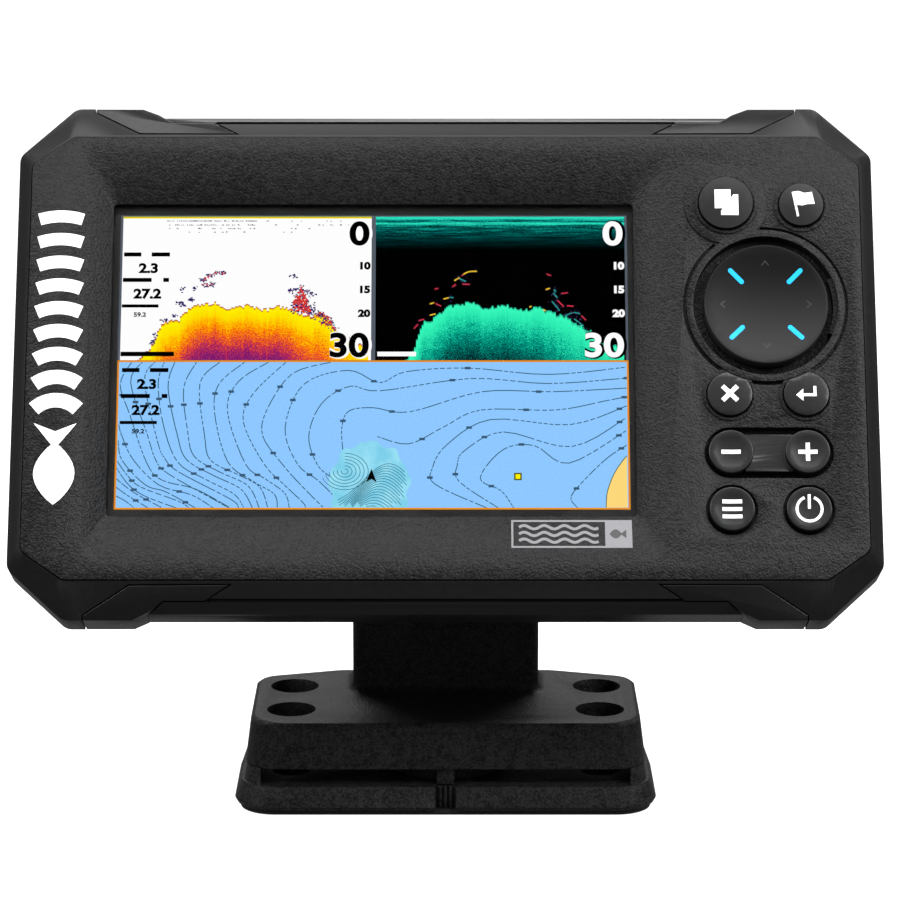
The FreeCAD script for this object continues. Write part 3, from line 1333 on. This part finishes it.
def base_plate():
    """Fixed plate with corner pads and the swivel hub."""
    plate = loft([footprint(-0.5, FOOT_T), footprint(0, FOOT_T + BASE_SOLE_H),
                  footprint(-BASE_DRAFT, BASE_TOP_Z)])
    hub = post((0, 0), HUB_R, BASE_TOP_Z - 1, swivel_washer_z())
    body = fused([plate, corner_pads(), hub])
    notch = block(both(NOTCH_HALF_W), (BASE_FRONT_Y - PAST, BASE_FRONT_Y + BASE_DRAFT + NOTCH_DEPTH),
                  (0, BASE_TOP_Z + PAST))
    body = body.cut(notch).fuse(notch_ribs())
    for place in screw_holes():
        body = body.cut(post(place, SCREW_HOLE_R, -PAST, BASE_TOP_Z + PAST))
        mouth = V(place[0], place[1], BASE_TOP_Z - SCREW_HOLE_R)
        body = body.cut(Part.makeCone(SCREW_HOLE_R, SCREW_HOLE_R * 2, SCREW_HOLE_R, mouth))
    body = body.cut(post((0, 0), SWIVEL_BOLT_R + RUNNING, -PAST, DECK_TOP_Z))
    head_room = post((0, 0), SWIVEL_HEAD_R + SLIDE_GAP, -PAST, swivel_seat_z() + WASHER_T)
    return body.cut(head_room).removeSplitter()


def swivel_seat_z():
    """Height of the top of the swivel bolt's head."""
    return FOOT_T + SWIVEL_HEAD_GAP + SWIVEL_HEAD_H


def swivel_washer_z():
    """Height of the underside of the washer below the deck."""
    return DECK_Z - WASHER_T - 2 * RUNNING


def swivel_bolt():
    """Shoulder bolt of the swivel, driven from below."""
    low = FOOT_T + SWIVEL_HEAD_GAP
    head = post((0, 0), SWIVEL_HEAD_R, low, swivel_seat_z())
    shank = post((0, 0), SWIVEL_BOLT_R, swivel_seat_z(), SWIVEL_END_Z)
    return fused([head, shank]).cut(post((0, 0), SWIVEL_SOCKET_R, 0, low + SWIVEL_SOCKET_DEPTH))


def wave_washer():
    """Spring washer over the swivel bolt's head."""
    washer = post((0, 0), SWIVEL_HEAD_R - 0.2, swivel_seat_z(), swivel_seat_z() + WASHER_T)
    return washer.cut(post((0, 0), SWIVEL_BOLT_R + RUNNING, 0, DECK_TOP_Z))


def swivel_washer():
    """Slippery washer between the hub and the deck."""
    low = swivel_washer_z()
    washer = post((0, 0), HUB_R - 1, low, low + WASHER_T)
    return washer.cut(post((0, 0), SWIVEL_BOLT_R + 0.2, 0, DECK_TOP_Z))


def swivel_insert():
    """Threaded insert moulded into the deck."""
    body = post((0, 0), INSERT_NUT_R, INSERT_NUT_Z, SWIVEL_END_Z)
    return body.cut(post((0, 0), SWIVEL_BOLT_R + RUNNING, 0, DECK_TOP_Z))


def deck_outline(inset, z):
    """Outline of the deck: straight front and sides, bowed rear."""
    half_w = DECK_HALF_W - inset
    front = DECK_FRONT_Y + inset
    side = DECK_REAR_SIDE_Y - inset
    rear = DECK_REAR_Y - inset
    points = [(-half_w, front, DECK_FRONT_R), (half_w, front, DECK_FRONT_R), (half_w, side, DECK_SIDE_R),
              (DECK_REAR_HALF_W, rear, DECK_REAR_R), (-DECK_REAR_HALF_W, rear, DECK_REAR_R),
              (-half_w, side, DECK_SIDE_R)]
    return outline(points, at_height(z))


def column_section(grow, z, half_w=COLUMN_HALF_W):
    """Outline of the column at one height; it leans back towards the barrel."""
    rise = (z - DECK_TOP_Z) / (PIVOT_Z - DECK_TOP_Z)
    front = COLUMN_FRONT_Y + rise * (PIVOT_Y - BARREL_R - COLUMN_FRONT_Y)
    back = COLUMN_FRONT_Y + COLUMN_DEPTH + rise * (PIVOT_Y + BARREL_R - COLUMN_FRONT_Y - COLUMN_DEPTH)
    return outline(rectangle(both(half_w + grow), (front - grow, back + grow)), at_height(z),
                   COLUMN_CORNER_R + grow)


def column_cove():
    """Hollow-curved foot where the column meets the deck."""
    wires = []
    for index in range(COLUMN_COVE_STEPS + 1):
        angle = math.radians(90.0 * index / COLUMN_COVE_STEPS)
        height = DECK_TOP_Z - THREAD_FIT + COLUMN_COVE * (1 - math.cos(angle))
        wires.append(column_section(COLUMN_COVE * (1 - math.sin(angle)), height))
    return loft(wires)


def deck():
    """Deck that turns over the base."""
    outer = loft([deck_outline(0, DECK_Z), deck_outline(DECK_DRAFT - 0.2, DECK_TOP_Z - DECK_EDGE),
                  deck_outline(DECK_DRAFT + DECK_EDGE * 0.8, DECK_TOP_Z)])
    hollow = loft([deck_outline(DECK_WALL, DECK_Z - PAST),
                   deck_outline(DECK_WALL + DECK_DRAFT, DECK_TOP_Z - DECK_TOP_T)])
    return outer.cut(hollow)


def deck_inside():
    """Boss, screw wells and stiffeners inside the deck, and the tab that stops the swivel."""
    top = DECK_TOP_Z - 1
    low = DECK_Z + 1.5
    inside = [post((0, 0), BOSS_OUTER_R, DECK_Z, top)]
    inside += [post(place, ACCESS_TOP_R + ACCESS_WALL, DECK_Z, top) for place in screw_holes()]
    middle_y = (SCREW_HOLE_FRONT_Y + SCREW_HOLE_REAR_Y) / 2
    inside.append(block(both(STIFFENER_T), (DECK_FRONT_Y + 2.2, DECK_REAR_Y - 5), (low, top)))
    inside.append(block(both(DECK_HALF_W - 3.9), around(middle_y, 1.0), (low, top)))
    inside.append(block(both(TAB_HALF_W), TAB_Y, (BASE_TOP_Z + SLIDE_GAP, DECK_Z + 1)))
    return inside


def column():
    """Leaning column with its coved foot and the tilt barrel."""
    lower = loft([column_section(0, DECK_TOP_Z - 1), column_section(0, COLUMN_NECK_Z)])
    upper = loft([column_section(0, COLUMN_NECK_Z - MERGE, BARREL_HALF_W),
                  column_section(0, PIVOT_Z, BARREL_HALF_W)])
    barrel = axle((PIVOT_Y, PIVOT_Z), BARREL_R, -BARREL_HALF_W, BARREL_HALF_W)
    return [column_cove(), lower, upper, barrel]


def column_cores():
    """Hollows between the ribs at the back of the column."""
    span = 2 * (COLUMN_HALF_W - COLUMN_WALL) + COLUMN_RIB_T
    pitch = span / COLUMN_RIBS
    cores = []
    for index in range(COLUMN_RIBS):
        left = -COLUMN_HALF_W + COLUMN_WALL + index * pitch
        section = rectangle((left, left + pitch - COLUMN_RIB_T), COLUMN_CORE_Z)
        cores.append(prism(section, COLUMN_FRONT_Y + COLUMN_WALL + 2, AWAY, 1.5))
    return cores


def pedestal():
    """Turning deck and column with the tilt barrel at its top."""
    body = fused([deck()] + deck_inside() + column())
    body = body.cut(axle((PIVOT_Y, PIVOT_Z), TILT_BOLT_R + RUNNING, -AWAY, AWAY))
    for core in column_cores():
        body = body.cut(core)
    for place in screw_holes():
        body = body.cut(Part.makeCone(ACCESS_BOTTOM_R, ACCESS_TOP_R, DECK_TOP_Z - DECK_Z + 2 * FIT,
                                      V(place[0], place[1], DECK_Z - FIT)))
    body = body.cut(post((0, 0), SWIVEL_BOLT_R + RUNNING, 0, SWIVEL_END_Z + MERGE))
    return body.cut(post((0, 0), INSERT_NUT_R + LINE_FIT, INSERT_NUT_Z - FIT, SWIVEL_END_Z)).removeSplitter()


# ---- all nodes -------------------------------------------------------------------------
MOUNT_NODES = {
    "foot_pad": foot_pad, "base_plate": base_plate, "swivel_bolt": swivel_bolt, "wave_washer": wave_washer,
    "swivel_washer": swivel_washer, "swivel_insert": swivel_insert, "pedestal": pedestal,
}
HEAD_NODES = {
    "cradle": cradle, "tilt_bolt": tilt_bolt, "tilt_nut": tilt_nut, "friction_washers": friction_washers,
    "release_lever": release_lever, "lever_pin": lever_pin, "lever_spring": lever_spring,
    "front_bezel": front_bezel, "main_frame": main_frame,
    "insert_top_left": lambda: corner_insert(-1, 1), "insert_top_right": lambda: corner_insert(1, 1),
    "insert_bottom_left": lambda: corner_insert(-1, -1), "insert_bottom_right": lambda: corner_insert(1, -1),
    "window_seal": window_seal, "display_window": display_window, "lcd_panel": lcd_panel,
    "lcd_tray": lcd_tray, "lcd_flex": lcd_flex, "keypad_mat": keypad_mat, "key_board": key_board,
    "key_flex": key_flex, "main_board": main_board, "board_chips": board_chips, "shield_can": shield_can,
    "gps_antenna": gps_antenna, "beeper": beeper, "card_reader": card_reader, "board_screws": board_screws,
    "rear_housing": rear_housing, "housing_seal": housing_seal, "case_screws": case_screws,
    "vent_plug": vent_plug, "card_door": card_door, "door_pin": door_pin,
    "connector_barrel": connector_barrel, "contact_insert": contact_insert, "connector_pins": connector_pins,
    "connector_nut": connector_nut, "dock_rail_plate": dock_rail_plate, "dock_screws": dock_screws,
    "pages_key": lambda: key_cap(PAGES, PAGES_R, PAGES_R + KEY_GAP + FLANGE_LAP, PAGES_APEX_Y, CROWN_SAG),
    "waypoint_key": lambda: key_cap(WAYPOINT, KEY_R, KEY_R + KEY_GAP + FLANGE_LAP, ACTION_APEX_Y, CROWN_SAG),
    "exit_key": lambda: trimmed_key(EXIT), "enter_key": lambda: trimmed_key(ENTER),
    "menu_key": lambda: key_cap(MENU, KEY_R, LOWER_FLANGE_R, DISHED_APEX_Y, -DISH_SAG),
    "power_key": lambda: key_cap(POWER, KEY_R, LOWER_FLANGE_R, DISHED_APEX_Y, -DISH_SAG),
    "zoom_rocker": zoom_rocker, "dpad": dpad, "dpad_light_bars": dpad_light_bars,
    "dpad_actuator": dpad_actuator,
}


def main():
    """Write one STEP file per node."""
    os.makedirs("parts", exist_ok=True)
    shapes = {name: build() for name, build in MOUNT_NODES.items()}
    shapes.update({name: lean(build()) for name, build in HEAD_NODES.items()})
    for name, shape in shapes.items():
        print(name, len(shape.Solids), round(shape.Volume, 1), shape.isValid())
        shape.exportStep("parts/" + name + ".step")


main()
